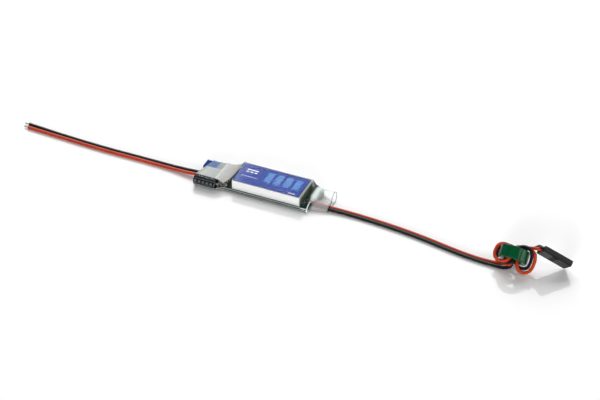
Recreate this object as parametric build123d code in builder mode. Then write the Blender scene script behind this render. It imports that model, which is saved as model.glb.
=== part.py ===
from build123d import *
import math
import os

# Small step-down regulator module (5 V battery eliminator) in a clear heat-shrink sleeve, with its
# leads, a ferrite ring and a three-way servo plug.
# Frame: origin at the centre of the module's flat underside, +X towards the output end, +Z up.
# Every length is in millimetres and every angle in degrees.

# ---------------------------------------------------------------- driving sizes
# sleeve film
sleeve_wall = 0.25
film_gap = 0.05            # clearance between the film and what it wraps

# circuit board: the shield and the bare ends beside it set its length
shield_length = 32.9
input_end_margin = 6.4     # board left bare at the input end
output_end_margin = 3.7    # and at the output end
board_length = input_end_margin + shield_length + output_end_margin
board_width = 17.0
board_thickness = 1.2
board_corner = 0.8
board_bottom = sleeve_wall + film_gap
board_top = board_bottom + board_thickness
board_left = -board_length / 2
board_right = board_length / 2

# tinned steel shield over the converter
shield_width = 15.0
shield_height = 4.5
shield_wall = 0.3
shield_corner = 0.4
shield_top_round = 0.2
shield_right = board_right - output_end_margin
shield_left = shield_right - shield_length
shield_middle = (shield_left + shield_right) / 2
shield_top = board_top + shield_height
shield_foot_width = 1.6    # notches under the side walls leave these feet
shield_notch_height = 0.4

# label
label_thickness = 0.1
label_corner = 0.5

# input capacitor, lying off the board's front left corner
capacitor_diameter = 4.8
capacitor_length = 10.5
capacitor_sleeve_wall = 0.12
capacitor_lip = 0.55       # how far the sleeve turns in over the can's ends
capacitor_gap = 0.6        # from its open end to the board's end
capacitor_overhang = 2.8   # how far it stands out past the board's front edge
bung_length = 1.4
bung_recess = 0.15
lead_diameter = 0.5
lead_spacing = 2.0
capacitor_radius = capacitor_diameter / 2
can_radius = capacitor_radius - capacitor_sleeve_wall
capacitor_right = board_left - capacitor_gap
capacitor_left = capacitor_right - capacitor_length
capacitor_y = -board_width / 2 - capacitor_overhang + capacitor_radius
capacitor_z = sleeve_wall + film_gap + capacitor_radius

# voltage-select header and its jumper
pin_pitch = 2.54
header_ways = 2
pin_width = 0.64
pin_clearance = 0.05
pin_reach = 5.8            # free length of each pin
header_depth = 2.5
header_height = 2.5
header_overhang = 3.8      # base's outer face past the board's end
header_y = 1.8             # middle of the row
header_z = board_top + 1.85
header_face = board_left - header_overhang
jumper_length = 7.1
jumper_width = 5.0
jumper_height = 2.5
jumper_grip_depth = 0.25
jumper_seat_gap = 0.05
jumper_mouth = header_face - jumper_seat_gap
clip_thickness = 0.2
clip_width = 4.0
clip_length = 5.8

# wires
wire_diameter = 1.5
conductor_diameter = 0.76
tip_length = 2.3           # stripped and tinned at the free end
tail_length = 1.6          # stripped and soldered on the board

# ferrite ring
ring_outer = 13.0
ring_inner = 7.6
ring_height = 5.5
ring_edge = 0.45
ring_centre = (117.9, -7.6, 6.65)
ring_lean = 50.0           # its axis leans back from upright
ring_roll = 1.0

# three-way plug
plug_ways = 3
plug_length = 14.0
plug_width = 7.6
plug_thickness = 2.5
plug_bevel = 0.5
plug_centre = (134.47, -2.73, 6.98)
plug_axis = (0.82, 0.25, -0.51)      # from the wire end to the tip
plug_normal = (-0.06, -0.86, -0.51)   # out of the face with the contact windows
cavity_width = 1.9
cavity_depth = 11.5        # from the wire end
pin_entry = 0.9
window_length = 2.6
window_width = 1.4
contact_width = 1.7
contact_wall = 0.25
contact_seat = 1.8         # where the crimped wire meets the contact, from the wire end
crimp_length = 3.0
contact_box_length = 5.2

os.makedirs("parts", exist_ok=True)


def save(builder, label):
    builder.part.label = label
    export_step(builder.part, f"parts/{label}.step")


def block_on_board(x, y, length, width, height, lift=0.0):
    """A plain block that stands on the board's upper face."""
    with BuildSketch(Plane.XY.offset(board_top + lift)) as outline:
        with Locations((x, y)):
            Rectangle(length, width)
    return extrude(outline.sketch, amount=height)


# ---------------------------------------------------------------- circuit board
with BuildPart() as pcb:
    with BuildSketch(Plane.XY.offset(board_bottom)):
        Rectangle(board_length, board_width)
    extrude(amount=board_thickness)
    fillet(pcb.edges().filter_by(Axis.Z), board_corner)
save(pcb, "pcb")

# ---------------------------------------------------------------- shield can
with BuildPart() as shield_can:
    with BuildSketch(Plane.XY.offset(board_top)):
        with Locations((shield_middle, 0)):
            RectangleRounded(shield_length, shield_width, shield_corner)
    extrude(amount=shield_height)
    fillet(shield_can.faces().sort_by(Axis.Z)[-1].edges(), shield_top_round)
    with BuildSketch(Plane.XY.offset(board_top)):
        with Locations((shield_middle, 0)):
            Rectangle(shield_length - 2 * shield_wall, shield_width - 2 * shield_wall)
    extrude(amount=shield_height - shield_wall, mode=Mode.SUBTRACT)
    # notches in the end walls let the tracks pass under the can
    with BuildSketch(Plane.XY.offset(board_top)):
        with Locations((shield_middle, 0)):
            Rectangle(shield_length + 1, shield_width - 2 * shield_foot_width)
    extrude(amount=shield_notch_height, mode=Mode.SUBTRACT)
save(shield_can, "shield_can")

with BuildPart() as label:
    with BuildSketch(Plane.XY.offset(shield_top)):
        with Locations((shield_middle, 0)):
            RectangleRounded(
                shield_length - 2 * shield_top_round,
                shield_width - 2 * shield_top_round,
                label_corner,
            )
    extrude(amount=label_thickness)
save(label, "label")

# ---------------------------------------------------------------- converter under the can
inductor_size = 7.0
inductor_height = 3.2
inductor_x = shield_middle + 4.5
inductor_y = 1.8
inductor_chamfer = 1.2
terminal_height = 0.3
terminal_width = 2.4

with BuildPart() as inductor_core:
    with BuildSketch(Plane.XY.offset(board_top + terminal_height)):
        with Locations((inductor_x, inductor_y)):
            Rectangle(inductor_size, inductor_size)
    extrude(amount=inductor_height - terminal_height)
    chamfer(inductor_core.edges().filter_by(Axis.Z), inductor_chamfer)
    fillet(inductor_core.faces().sort_by(Axis.Z)[-1].edges(), 0.3)
save(inductor_core, "inductor_core")

with BuildPart() as inductor_terminals:
    for side in (-1, 1):
        add(block_on_board(inductor_x + side * (inductor_size / 2 - 1.0), inductor_y,
                           1.6, terminal_width, terminal_height))
save(inductor_terminals, "inductor_terminals")

chip_length = 4.9
chip_width = 3.9
chip_height = 1.45
chip_standoff = 0.15
chip_x = shield_middle - 4.5
chip_y = -1.2
chip_lead_pitch = 1.27
chip_lead_width = 0.41
chip_lead_thickness = 0.2
chip_lead_reach = 1.05

with BuildPart() as controller_chip:
    with BuildSketch(Plane.XY.offset(board_top + chip_standoff)):
        with Locations((chip_x, chip_y)):
            Rectangle(chip_length, chip_width)
    extrude(amount=chip_height)
    chamfer(controller_chip.faces().sort_by(Axis.Z)[-1].edges(), 0.25)
save(controller_chip, "controller_chip")

with BuildPart() as controller_chip_leads:
    for side in (-1, 1):
        for n in range(4):
            lead_x = chip_x + (n - 1.5) * chip_lead_pitch
            wall_y = chip_y + side * chip_width / 2
            foot = block_on_board(lead_x, wall_y + side * (0.45 + chip_lead_reach) / 2,
                                  chip_lead_width, chip_lead_reach - 0.45, chip_lead_thickness)
            riser = block_on_board(lead_x, wall_y + side * 0.35,
                                   chip_lead_width, chip_lead_thickness, 0.9)
            shoulder = block_on_board(lead_x, wall_y + side * 0.225, chip_lead_width, 0.45,
                                      chip_lead_thickness, lift=0.7)
            add(foot + riser + shoulder)
save(controller_chip_leads, "controller_chip_leads")

diode_length = 4.3
diode_width = 2.6
diode_height = 2.1
diode_x = shield_middle - 2.6
diode_y = 4.9
tab_thickness = 0.2

with BuildPart() as schottky_diode:
    with BuildSketch(Plane.XY.offset(board_top + tab_thickness)):
        with Locations((diode_x, diode_y)):
            Rectangle(diode_length, diode_width)
    extrude(amount=diode_height - tab_thickness)
    chamfer(schottky_diode.faces().sort_by(Axis.Z)[-1].edges(), 0.2)
save(schottky_diode, "schottky_diode")

with BuildPart() as diode_terminals:
    for side in (-1, 1):
        add(block_on_board(diode_x + side * (diode_length / 2 - 0.3), diode_y,
                           1.4, 1.5, tab_thickness))
save(diode_terminals, "diode_terminals")

# chips are (x from the middle of the can, y)
ceramic_length = 3.2
ceramic_width = 2.5
ceramic_height = 1.6
ceramic_places = [(-12.5, 3.5), (-12.5, -0.8), (11.6, 4.4), (11.6, 1.0)]

with BuildPart() as ceramic_capacitors:
    for x, y in ceramic_places:
        add(block_on_board(shield_middle + x, y, ceramic_length, ceramic_width, ceramic_height))
save(ceramic_capacitors, "ceramic_capacitors")

resistor_length = 1.6
resistor_width = 0.8
resistor_height = 0.45
resistor_places = [(-8.6, 4.9), (-8.6, 3.5), (-0.6, -4.6), (2.0, -4.6), (4.6, -4.6), (7.2, -4.6)]

with BuildPart() as chip_resistors:
    for x, y in resistor_places:
        add(block_on_board(shield_middle + x, y, resistor_length, resistor_width, resistor_height))
save(chip_resistors, "chip_resistors")

# ---------------------------------------------------------------- output end of the board
output_margin_x = shield_right + output_end_margin / 2
filter_length = 1.6
filter_width = 3.2
filter_height = 1.5
filter_y = 5.6
with BuildPart() as output_filter_capacitor:
    add(block_on_board(output_margin_x + 0.1, filter_y, filter_length, filter_width,
                       filter_height))
save(output_filter_capacitor, "output_filter_capacitor")

led_length = 0.8
led_width = 1.6
led_height = 0.6
led_y = 1.6
with BuildPart() as status_led:
    add(block_on_board(output_margin_x, led_y, led_length, led_width, led_height))
save(status_led, "status_led")

# ---------------------------------------------------------------- capacitor
capacitor_plane = Plane(origin=(capacitor_left, capacitor_y, capacitor_z), x_dir=(0, 1, 0),
                        z_dir=(1, 0, 0))
can_left_gap = capacitor_sleeve_wall
can_length = capacitor_length - 2 * capacitor_sleeve_wall

with BuildPart() as capacitor_can:
    with BuildSketch(capacitor_plane.offset(can_left_gap)):
        Circle(can_radius)
    extrude(amount=can_length)
    fillet(capacitor_can.faces().sort_by(Axis.X)[0].edges(), 0.4)
    with BuildSketch(capacitor_plane.offset(can_left_gap + can_length)):
        Circle(can_radius - 0.35)
    extrude(amount=-(bung_length + bung_recess), mode=Mode.SUBTRACT)
    fillet(capacitor_can.faces().sort_by(Axis.X)[-1].edges(), 0.1)
save(capacitor_can, "capacitor_can")

with BuildPart() as capacitor_sleeve:
    with BuildSketch(capacitor_plane):
        Circle(capacitor_radius)
    extrude(amount=capacitor_length)
    fillet(capacitor_sleeve.edges().filter_by(GeomType.CIRCLE), 0.4)
    with BuildSketch(capacitor_plane):
        Circle(capacitor_radius - capacitor_lip - 0.4)
    extrude(amount=capacitor_length, mode=Mode.SUBTRACT)
    with BuildSketch(capacitor_plane.offset(can_left_gap)):
        Circle(can_radius)
    extrude(amount=can_length, mode=Mode.SUBTRACT)
save(capacitor_sleeve, "capacitor_sleeve")

lead_tilt = 45.0
lead_offset_y = lead_spacing / 2 * math.cos(math.radians(lead_tilt))
lead_offset_z = lead_spacing / 2 * math.sin(math.radians(lead_tilt))
bung_face = capacitor_left + can_left_gap + can_length - bung_recess
lead_lift = board_top + lead_diameter / 2
high_lead_start = (bung_face, capacitor_y - lead_offset_y, capacitor_z + lead_offset_z)
low_lead_start = (bung_face, capacitor_y + lead_offset_y, capacitor_z - lead_offset_z)
high_pad_x = board_left + 2.7
high_pad_y = -board_width / 2 + 1.8
low_pad_x = board_left + 1.0
low_pad_y = -board_width / 2 + 0.95

# each lead bends to its pad: lists of points, and a bend radius for every corner
high_lead_points = [
    high_lead_start,
    (capacitor_right + 0.8, high_lead_start[1], high_lead_start[2]),
    (high_pad_x - 0.9, high_pad_y, lead_lift + 0.9),
    (high_pad_x, high_pad_y, lead_lift),
]
low_lead_points = [
    low_lead_start,
    (capacitor_right + 0.6, low_lead_start[1], low_lead_start[2]),
    (low_pad_x - 0.4, low_pad_y, lead_lift),
    (low_pad_x + 0.3, low_pad_y, lead_lift),
]


def rod(points, radius, bends):
    """A round rod along straight runs that are joined by arcs."""
    with BuildPart() as made:
        with BuildLine() as path:
            FilletPolyline(*points, radius=bends)
        with BuildSketch(Plane(origin=path.line @ 0, z_dir=path.line % 0)):
            Circle(radius)
        sweep()
    return made.part


with BuildPart() as capacitor_leads:
    add(rod(high_lead_points, lead_diameter / 2, [0.8, 0.8]))
    add(rod(low_lead_points, lead_diameter / 2, [0.35, 0.35]))
save(capacitor_leads, "capacitor_leads")

with BuildPart() as capacitor_bung:
    with BuildSketch(capacitor_plane.offset(bung_face - capacitor_left - bung_length)):
        Circle(can_radius - 0.35)
    extrude(amount=bung_length)
save(capacitor_bung, "capacitor_bung")

# ---------------------------------------------------------------- header and jumper
pin_rows = [header_y + (n - (header_ways - 1) / 2) * pin_pitch for n in range(header_ways)]
pin_bend_x = board_left + 1.6

with BuildPart() as header_pins:
    for row in pin_rows:
        with BuildSketch(Plane(origin=(header_face - pin_reach, row, header_z), z_dir=(1, 0, 0))):
            Rectangle(pin_width, pin_width)
        extrude(amount=pin_bend_x + pin_width / 2 - header_face + pin_reach)
        with BuildSketch(Plane.XY.offset(board_top)):
            with Locations((pin_bend_x, row)):
                Rectangle(pin_width, pin_width)
        extrude(amount=header_z - board_top)
save(header_pins, "header_pins")

with BuildPart() as header_base:
    with BuildSketch(Plane(origin=(header_face, header_y, header_z), x_dir=(0, 1, 0),
                           z_dir=(1, 0, 0))):
        Rectangle(header_ways * pin_pitch, header_height)
    extrude(amount=header_depth)
    chamfer(header_base.edges().filter_by(Axis.X), 0.3)
    add(header_pins.part, mode=Mode.SUBTRACT)
save(header_base, "header_base")

jumper_plane = Plane(origin=(jumper_mouth, header_y, header_z), x_dir=(0, 1, 0), z_dir=(-1, 0, 0))
clip_gap = pin_width + 2 * pin_clearance
cavity_height = clip_gap + 2 * clip_thickness + 2 * pin_clearance
cavity_reach = clip_length + 2 * pin_clearance + 0.4

with BuildPart() as jumper_cap:
    with BuildSketch(jumper_plane):
        Rectangle(jumper_width, jumper_height)
    extrude(amount=jumper_length)
    # grip ribs across the two broad faces near the closed end
    for n in range(3):
        rib = jumper_length - 0.55 - 0.7 * n
        for face in (-1, 1):
            with BuildSketch(jumper_plane.offset(rib)):
                with Locations((0, face * jumper_height / 2)):
                    Rectangle(jumper_width, 2 * jumper_grip_depth)
            extrude(amount=-0.35, mode=Mode.SUBTRACT)
    with BuildSketch(jumper_plane):
        Rectangle(clip_width + 2 * pin_clearance, cavity_height)
    extrude(amount=cavity_reach, mode=Mode.SUBTRACT)
save(jumper_cap, "jumper_cap")

with BuildPart() as jumper_clip:
    with BuildSketch(jumper_plane.offset(0.4)):
        Rectangle(clip_width, clip_gap + 2 * clip_thickness)
    extrude(amount=clip_length)
    with BuildSketch(jumper_plane.offset(0.4)):
        Rectangle(clip_width + 1, clip_gap)
    extrude(amount=clip_length - clip_thickness, mode=Mode.SUBTRACT)
save(jumper_clip, "jumper_clip")

# ---------------------------------------------------------------- ring and plug frames
ring_plane = Plane(Location(ring_centre, (-ring_lean, ring_roll, 0)))
plug_plane = Plane(origin=plug_centre, x_dir=plug_axis, z_dir=plug_normal)


def at_ring(points):
    """Points given in the ring's own frame: across, back and along its axis."""
    return [tuple(ring_plane.from_local_coords(point)) for point in points]


def in_slot(slot, distances):
    """Points on the axis of a plug cavity, measured inwards from the wire end."""
    return [
        tuple(plug_plane.from_local_coords((d - plug_length / 2, slot * pin_pitch, 0)))
        for d in distances
    ]


with BuildPart() as ferrite_ring:
    with BuildSketch(ring_plane.offset(-ring_height / 2)):
        Circle(ring_outer / 2)
        Circle(ring_inner / 2, mode=Mode.SUBTRACT)
    extrude(amount=ring_height)
    fillet(ferrite_ring.edges().filter_by(GeomType.CIRCLE), ring_edge)
save(ferrite_ring, "ferrite_ring")

# ---------------------------------------------------------------- wires
# Each route is a list of points chosen along the wire's centre line.
input_pad_x = board_left + 1.3
output_pad_x = board_right - 1.6
wire_lift = board_top + 0.85           # centre line where a wire meets its solder joint
input_red_route = [
    (input_pad_x, -board_width / 2 + 4.1, wire_lift),
    (input_pad_x - 4.3, -board_width / 2 + 3.9, wire_lift - 0.05),
    (-29.5, -4.8, 2.15), (-35.0, -4.8, 1.9),
    (-41.0, -4.6, 1.4), (-48.0, -4.1, 0.95), (-56.0, -3.85, 0.8), (-66.0, -3.7, 0.78),
    (-78.0, -3.85, 0.78), (-90.0, -3.5, 0.78), (-102.0, -2.9, 0.78), (-113.0, -2.3, 0.78),
    (-122.0, -1.9, 0.78),
]
input_black_route = [
    (input_pad_x, -board_width / 2 + 6.3, wire_lift),
    (input_pad_x - 4.3, -board_width / 2 + 5.9, wire_lift + 0.05),
    (-29.5, -3.0, 2.3), (-35.0, -3.05, 2.15),
    (-41.0, -2.85, 1.6), (-48.0, -2.35, 1.05), (-56.0, -2.05, 0.85), (-66.0, -1.95, 0.78),
    (-78.0, -2.05, 0.78), (-90.0, -1.7, 0.78), (-102.0, -1.1, 0.78), (-113.0, -0.35, 0.78),
    (-122.8, 0.5, 0.78),
]
# The output pair runs along the floor to the ring and under it. Each wire goes up through the
# hole, round the ring's left side, up through the hole again, round its right side, up through
# the hole a third time, and over to the plug.
output_black_route = [
    (output_pad_x, -board_width / 2 + 3.5, wire_lift),
    (output_pad_x + 2.3, -board_width / 2 + 3.7, wire_lift - 0.1),
    (26.0, -4.2, 1.5), (31.0, -3.6, 1.08), (41.0, -3.2, 0.78), (54.0, -3.9, 0.77),
    (67.0, -5.1, 0.77), (79.0, -6.9, 0.77), (90.0, -9.0, 0.77), (98.0, -10.2, 0.77),
    (104.0, -10.7, 0.77), (109.0, -10.9, 0.77), (112.0, -11.0, 0.77), (114.3, -11.0, 0.8),
] + at_ring([
    (-1.9, 2.6, -5.8), (-0.6, 3.0, -5.0), (-0.4, 2.9, -3.7), (-0.7, 2.7, -1.9),
    (-1.0, 2.7, 0.0), (-0.9, 2.7, 1.8), (-1.5, 2.8, 3.4), (-3.0, 3.0, 4.0),
    (-4.8, 2.9, 3.9), (-6.7, 2.5, 3.4), (-7.4, 2.1, 1.8), (-7.4, 1.8, -0.3),
    (-7.4, 1.4, -2.4), (-6.8, 1.1, -4.0), (-5.0, 0.6, -4.3), (-3.0, 0.0, -4.3),
    (-1.0, -0.7, -4.2), (0.4, -0.9, -3.3), (0.9, -0.8, -1.4), (1.0, -1.3, 0.4),
    (1.0, -2.1, 2.0), (1.7, -2.3, 3.4), (3.3, -2.3, 4.0), (5.2, -2.2, 4.0),
    (7.0, -2.2, 3.2), (7.6, -1.3, 1.5), (7.55, -0.4, -0.4), (7.5, 0.7, -2.2),
    (7.7, 1.7, -3.9), (7.0, 2.4, -5.3), (5.2, 2.7, -5.8), (3.2, 2.7, -5.6),
    (1.8, 2.6, -4.8), (1.2, 2.3, -3.3), (1.1, 2.2, -1.5), (1.0, 2.2, 0.2),
    (1.1, 2.3, 1.8), (1.7, 2.7, 3.5), (3.3, 3.0, 4.4), (5.2, 3.0, 4.8),
    (6.8, 2.7, 5.5), (8.2, 1.5, 6.1), (9.2, -0.5, 6.6), (10.2, -2.5, 6.5),
]) + in_slot(1, (-0.6, contact_seat))
output_red_route = [
    (output_pad_x, -board_width / 2 + 5.7, wire_lift),
    (output_pad_x + 2.3, -board_width / 2 + 5.8, wire_lift - 0.1),
    (26.0, -2.4, 1.5), (31.0, -2.0, 1.08), (41.0, -1.6, 0.78), (54.0, -2.3, 0.77),
    (67.0, -3.5, 0.77), (79.0, -5.3, 0.77), (90.0, -7.4, 0.77), (98.0, -8.6, 0.77),
    (104.0, -9.05, 0.77), (108.4, -8.9, 0.8), (111.4, -8.6, 0.85),
] + at_ring([
    (-4.5, 3.7, -4.5), (-3.0, 2.4, -4.3), (-1.8, 1.4, -4.6), (-0.7, 0.9, -4.5),
    (-0.1, 0.8, -3.5), (-0.5, 0.8, -1.9), (-1.2, 1.0, -0.2), (-1.8, 1.1, 1.6),
    (-2.7, 1.3, 3.3), (-4.4, 1.3, 3.8), (-6.3, 1.0, 3.7), (-7.95, 0.4, 2.7),
    (-8.4, 0.0, 0.5), (-8.3, -0.5, -1.5), (-7.4, -0.8, -3.3), (-5.8, -1.1, -4.2),
    (-4.0, -1.6, -4.2), (-2.2, -2.1, -4.0), (-1.1, -2.4, -2.9), (-0.8, -2.3, -1.2),
    (-0.6, -1.5, 0.6), (-0.4, -0.8, 2.4), (0.5, -0.6, 3.7), (2.4, -0.6, 4.0),
    (4.6, -0.5, 4.1), (6.6, -0.5, 3.9), (8.5, -0.3, 2.9), (9.3, -0.1, 1.2),
    (9.5, 0.0, -0.8), (9.2, -0.1, -2.8), (8.1, -0.1, -4.4), (6.3, 0.2, -5.0),
    (4.5, 0.6, -4.9), (3.1, 0.9, -4.2), (2.6, 1.0, -2.8), (2.5, 1.0, -1.1),
    (2.5, 1.05, 0.5), (2.5, 1.1, 1.9), (2.8, 1.15, 3.3), (3.9, 1.2, 4.5),
    (5.4, 1.3, 4.9), (7.1, 0.8, 5.1), (8.5, -0.7, 5.0),
]) + in_slot(0, (-0.6, contact_seat))


def bend_radii(points):
    """An arc at each corner as large as its two runs allow."""
    radii = []
    for before, here, after in zip(points, points[1:], points[2:]):
        run_in = Vector(*here) - Vector(*before)
        run_out = Vector(*after) - Vector(*here)
        half_turn = math.radians(run_in.get_angle(run_out)) / 2
        radii.append(0.45 * min(run_in.length, run_out.length) / math.tan(half_turn))
    return radii


def wire(label, points):
    """One insulated wire, with its length, volume check and bend radii printed."""
    radii = bend_radii(points)
    with BuildPart() as made:
        with BuildLine() as path:
            FilletPolyline(*points, radius=radii)
        with BuildSketch(Plane(origin=path.line @ 0, z_dir=path.line % 0)):
            Circle(wire_diameter / 2)
        sweep()
    length = sum(edge.length for edge in path.edges())
    expected = math.pi * wire_diameter ** 2 / 4 * length
    print(label, "length", round(length, 1), "volume ratio", round(made.part.volume / expected, 4),
          "radii", [round(r, 1) for r in radii])
    save(made, label)
    return made.part


input_wire_red = wire("input_wire_red", input_red_route)
input_wire_black = wire("input_wire_black", input_black_route)
output_wire_red = wire("output_wire_red", output_red_route)
output_wire_black = wire("output_wire_black", output_black_route)


def stub(points, length):
    """The bare conductor that carries on from the first point of a route."""
    start = Vector(*points[0])
    heading = (start - Vector(*points[1])).normalized()
    with BuildSketch(Plane(origin=start, z_dir=heading)) as section:
        Circle(conductor_diameter / 2)
    return extrude(section.sketch, amount=length)


with BuildPart() as tinned_tips:
    add(stub(input_red_route[::-1], tip_length))
    add(stub(input_black_route[::-1], tip_length))
save(tinned_tips, "tinned_tips")


with BuildPart() as conductor_tails:
    for route in (input_red_route, input_black_route, output_red_route, output_black_route):
        add(stub(route, tail_length))
save(conductor_tails, "conductor_tails")

# ---------------------------------------------------------------- solder
def dome(x, y, radius, height):
    """A round solder joint on the board's upper face."""
    with BuildPart() as made:
        with BuildSketch(Plane.XY.offset(board_top)):
            with Locations((x, y)):
                Circle(radius)
        extrude(amount=height)
        fillet(made.faces().sort_by(Axis.Z)[-1].edges(), 0.85 * min(radius, height))
    return made.part


wire_joint_radius = 0.95
wire_joint_height = 1.2
joint_reach = tail_length - 0.6
with BuildPart() as wire_solder:
    for x, y, z in (input_red_route[0], input_black_route[0]):
        add(dome(x + joint_reach, y, wire_joint_radius, wire_joint_height))
    for x, y, z in (output_red_route[0], output_black_route[0]):
        add(dome(x - joint_reach, y, wire_joint_radius, wire_joint_height))
    add(conductor_tails.part, mode=Mode.SUBTRACT)
save(wire_solder, "wire_solder")

with BuildPart() as component_solder:
    add(dome(high_pad_x, high_pad_y, 1.15, 0.95))
    add(dome(low_pad_x, low_pad_y, 0.7, 0.75))
    for row in pin_rows:
        add(dome(pin_bend_x, row, 0.75, 0.55))
    add(capacitor_leads.part, mode=Mode.SUBTRACT)
    add(header_pins.part, mode=Mode.SUBTRACT)
save(component_solder, "component_solder")

# ---------------------------------------------------------------- plug
wire_end = Plane(origin=in_slot(0, (0,))[0], x_dir=plug_plane.y_dir, z_dir=plug_plane.x_dir)
with BuildPart() as plug_housing:
    with BuildSketch(wire_end) as section:
        Rectangle(plug_width, plug_thickness)
        # bevels along one broad face key the plug
        chamfer(section.vertices().group_by(Axis.Y)[-1], plug_bevel)
    extrude(amount=plug_length)
    with BuildSketch(wire_end):
        with GridLocations(pin_pitch, 0, plug_ways, 1):
            Rectangle(cavity_width, cavity_width)
    extrude(amount=cavity_depth, mode=Mode.SUBTRACT)
    with BuildSketch(wire_end):
        with GridLocations(pin_pitch, 0, plug_ways, 1):
            Rectangle(pin_entry, pin_entry)
    extrude(amount=plug_length, mode=Mode.SUBTRACT)
    with BuildSketch(plug_plane.offset(plug_thickness / 2)):
        with Locations((-0.6, 0)):
            with GridLocations(0, pin_pitch, 1, plug_ways):
                Rectangle(window_length, window_width)
    extrude(amount=-(plug_thickness - cavity_width) / 2, mode=Mode.SUBTRACT)
save(plug_housing, "plug_housing")


def contact(label, slot):
    """A crimped spring contact: a barrel on the conductor and a box that takes the pin."""
    seat = Plane(origin=in_slot(slot, (contact_seat,))[0], x_dir=wire_end.x_dir,
                 z_dir=wire_end.z_dir)
    with BuildPart() as made:
        with BuildSketch(seat):
            Circle(wire_diameter / 2)
        extrude(amount=crimp_length)
        with BuildSketch(seat.offset(crimp_length)):
            Rectangle(contact_width, contact_width)
        extrude(amount=contact_box_length)
        with BuildSketch(seat.offset(crimp_length + contact_wall)):
            Rectangle(contact_width - 2 * contact_wall, contact_width - 2 * contact_wall)
        extrude(amount=contact_box_length, mode=Mode.SUBTRACT)
    save(made, label)


contact("plug_contact_positive", 0)
contact("plug_contact_negative", 1)

# ---------------------------------------------------------------- heat-shrink sleeve
edge = sleeve_wall + film_gap
board_side = board_width / 2 + edge
board_roof = board_top + edge
shield_side = shield_width / 2 + edge
shield_roof = shield_top + label_thickness + edge
capacitor_front = capacitor_y - capacitor_radius - edge
capacitor_roof = capacitor_z + capacitor_radius + edge
jumper_roof = header_z + jumper_height / 2 + edge + 0.1
jumper_side = header_y + jumper_width / 2 + edge + 0.3
wire_roof = board_top + wire_diameter + 0.7
sleeve_left = capacitor_left - 2.0     # before the end is cut on the slant
sleeve_right = board_right + 9.0
sleeve_cut_angle = 13.0
tube_height = 6.3
tube_back = 5.4
lip_front = -4.8                       # the film closes on the two wires here
lip_back = -0.9
lip_height = 1.08 + wire_diameter / 2 + edge + 0.05

# half a side of the octagon that wraps the round capacitor
wrap = capacitor_radius + edge
wrap_side = wrap * math.tan(math.radians(22.5))
around_capacitor = [
    (capacitor_y - wrap_side, capacitor_roof), (capacitor_front, capacitor_z + wrap_side),
    (capacitor_front, capacitor_z - wrap_side)]
around_shield = [
    (-board_side, 0), (board_side, 0), (board_side, board_roof),
    (shield_side, shield_roof - 0.3), (shield_side - 0.3, shield_roof), (0, shield_roof + 0.02),
    (-shield_side + 0.3, shield_roof), (-shield_side, shield_roof - 0.3),
    (-board_side, board_roof)]

# Each section is nine corners, (y, z), from the front of the foot round the back to the front.
left_end = [
    (capacitor_y - wrap_side, 0), (jumper_side - 0.9, 0), (jumper_side, 1.2),
    (jumper_side, jumper_roof - 0.5), (jumper_side - 0.5, jumper_roof),
    (capacitor_y + 0.9, capacitor_roof)] + around_capacitor
film_sections = [
    (sleeve_left, left_end),
    (header_face, left_end),
    (capacitor_right + edge, [
        (capacitor_y - wrap_side, 0), (board_side, 0), (board_side, board_roof),
        (jumper_side + 0.5, jumper_roof - 0.5), (jumper_side - 0.4, jumper_roof),
        (capacitor_y + 0.9, capacitor_roof)] + around_capacitor),
    (board_left + 2.6, [
        (-board_side, 0), (board_side, 0), (board_side, board_roof),
        (jumper_side + 0.7, jumper_roof - 0.1), (jumper_side - 0.5, jumper_roof + 0.3),
        (capacitor_y + 3.4, wire_roof + 0.6), (-board_side + 0.9, wire_roof + 0.2),
        (-board_side + 0.1, wire_roof - 0.6), (-board_side, board_roof)]),
    (shield_left - 1.6, [
        (-board_side, 0), (board_side, 0), (board_side, board_roof),
        (shield_side - 1.4, shield_roof - 1.1), (shield_side - 2.6, shield_roof - 0.7),
        (-1.0, shield_roof - 1.3), (-shield_side + 0.8, shield_roof - 1.7),
        (-shield_side, wire_roof), (-board_side, board_roof)]),
    (shield_left - edge, around_shield),
    (shield_right + edge, around_shield),
    (board_right + edge, [
        (-board_side, 0), (board_side, 0), (board_side, board_roof),
        (board_side - 1.6, board_roof + 1.6), (board_side - 4.6, wire_roof + 0.8),
        (-0.6, wire_roof + 0.3), (-board_side + 2.4, wire_roof - 0.4),
        (-board_side + 0.8, wire_roof - 1.2), (-board_side, board_roof)]),
    (board_right + 2.5, [
        (lip_front - 1.2, 0), (tube_back + 1.6, 0), (tube_back + 2.3, 1.6),
        (tube_back + 1.4, 3.4), (tube_back - 1.2, tube_height - 1.4), (0.2, wire_roof + 0.4),
        (lip_front + 1.6, wire_roof - 0.4), (lip_front - 0.9, wire_roof - 0.7),
        (lip_front - 1.5, 1.3)]),
    (sleeve_right, [
        (lip_front + 0.3, 0), (tube_back - 1.5, 0), (tube_back, 1.8),
        (tube_back - 0.3, tube_height - 1.7), (tube_back - 2.2, tube_height),
        (0.6, tube_height - 0.9), (lip_back, lip_height + 0.3),
        (lip_front + 0.4, lip_height), (lip_front, lip_height / 2)]),
]


def film_face(x, corners, inset=0.0):
    """One cross-section of the sleeve as a flat face, drawn in the YZ plane at x."""
    with BuildSketch(Plane(origin=(x, 0, 0), x_dir=(0, 1, 0), z_dir=(1, 0, 0))) as section:
        with BuildLine():
            Polyline(*corners, close=True)
        make_face()
        if inset:
            offset(amount=-inset, kind=Kind.INTERSECTION, mode=Mode.REPLACE)
    return section.sketch.face()


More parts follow.
